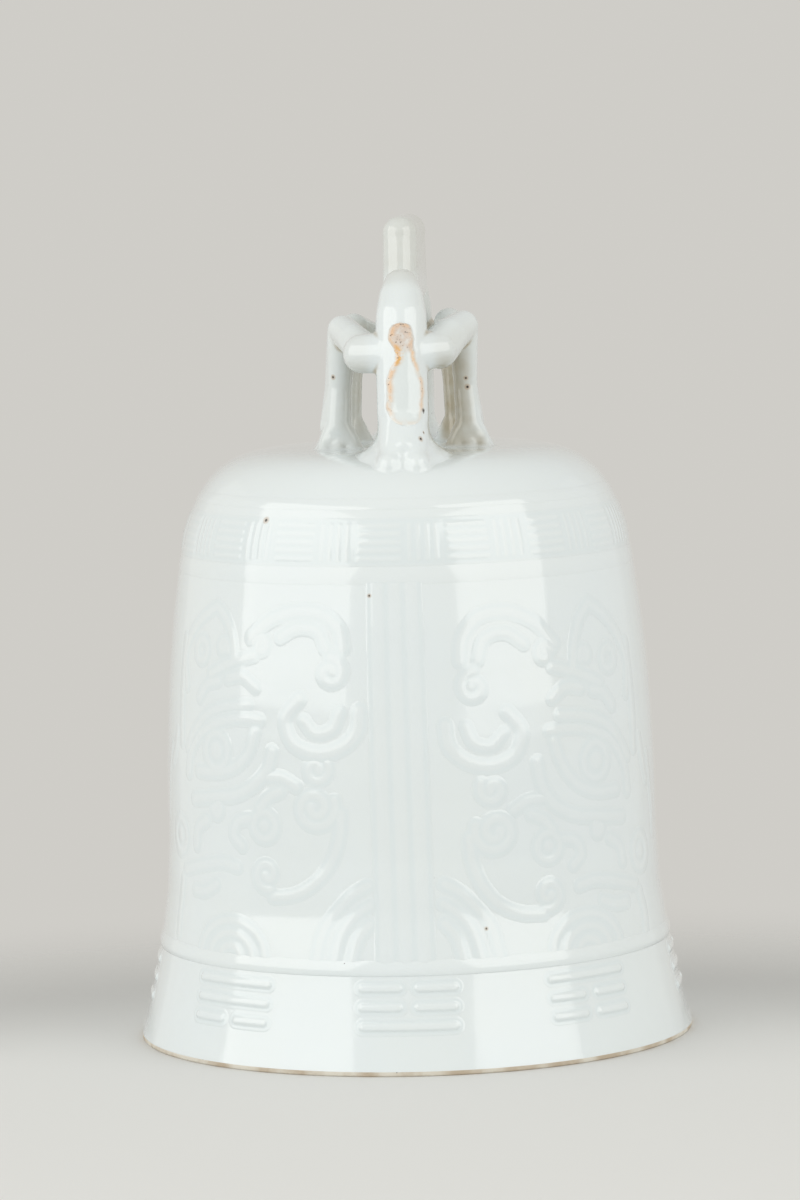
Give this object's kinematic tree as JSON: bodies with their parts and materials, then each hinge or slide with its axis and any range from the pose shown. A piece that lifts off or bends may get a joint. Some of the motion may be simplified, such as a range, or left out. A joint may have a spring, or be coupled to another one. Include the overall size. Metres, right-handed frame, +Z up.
{
  "type": "porcelain bell",
  "caption": "White glazed temple bell with ribbed straps, beast masks, trigram skirt, a two-headed beast suspension loop and a free-swinging clapper.",
  "frame": {"origin": "centre of the mouth plane, where the bell stands", "axes": "+Z up through the loop, front strap and front head towards -Y, +X to the right of someone facing the front"},
  "size_m": [0.1624, 0.1624, 0.2399],
  "materials": {
    "porcelain": "clear glossy glaze with a faint blue-green cast",
    "biscuit": "bare fired lip, toasted brown",
    "scarred_glaze": "glaze with a burnt orange rim",
    "brass": "aged satin brass",
    "hardwood": "turned and oiled"
  },
  "bodies": {
    "bell": {"crown_dome": "porcelain", "barrel_wall": "porcelain", "flared_skirt": "porcelain", "foot_rim": "biscuit", "shoulder_bead": "porcelain", "fret_band": "porcelain", "barrel_bead": "porcelain", "waist_ring": "porcelain", "rib_strap_front": "porcelain", "rib_strap_back": "porcelain", "trigram_front": "porcelain", "trigram_front_right": "porcelain", "trigram_right": "porcelain", "trigram_back_right": "porcelain", "trigram_back": "porcelain", "trigram_back_left": "porcelain", "trigram_left": "porcelain", "trigram_front_left": "porcelain", "mask_right_eyes": "porcelain", "mask_right_brows": "porcelain", "mask_right_horns": "porcelain", "mask_right_curls": "porcelain", "mask_right_whiskers": "porcelain", "mask_right_snout": "porcelain", "clouds_right": "porcelain", "hills_right": "porcelain", "mask_left_eyes": "porcelain", "mask_left_brows": "porcelain", "mask_left_horns": "porcelain", "mask_left_curls": "porcelain", "mask_left_whiskers": "porcelain", "mask_left_snout": "porcelain", "clouds_left": "porcelain", "hills_left": "porcelain", "neck_front": "porcelain", "neck_back": "porcelain", "head_front": "porcelain", "head_back": "porcelain", "mane_pad_front": "scarred_glaze", "mane_pad_back": "scarred_glaze", "beast_back": "porcelain", "loop_crest": "porcelain", "leg_front_right": "porcelain", "leg_front_left": "porcelain", "leg_back_right": "porcelain", "leg_back_left": "porcelain", "paw_front_right": "porcelain", "paw_front_left": "porcelain", "paw_back_right": "porcelain", "paw_back_left": "porcelain", "crown_lug": "porcelain"},
    "hanger": {"hanger_yoke": "brass", "hanger_pin": "brass"},
    "clapper": {"clapper_rod": "brass", "clapper_pin": "brass", "clapper_ball": "hardwood"}
  },
  "joints": [
    {"name": "hanger_swing", "type": "hinge", "parent": "bell", "child": "hanger", "pos_m": [0, 0, 0.156], "axis": [1, 0, 0], "range_deg": [-26, 26]},
    {"name": "clapper_sway", "type": "hinge", "parent": "hanger", "child": "clapper", "pos_m": [0, 0, 0.135], "axis": [0, 1, 0], "range_deg": [-8, 8]}
  ]
}
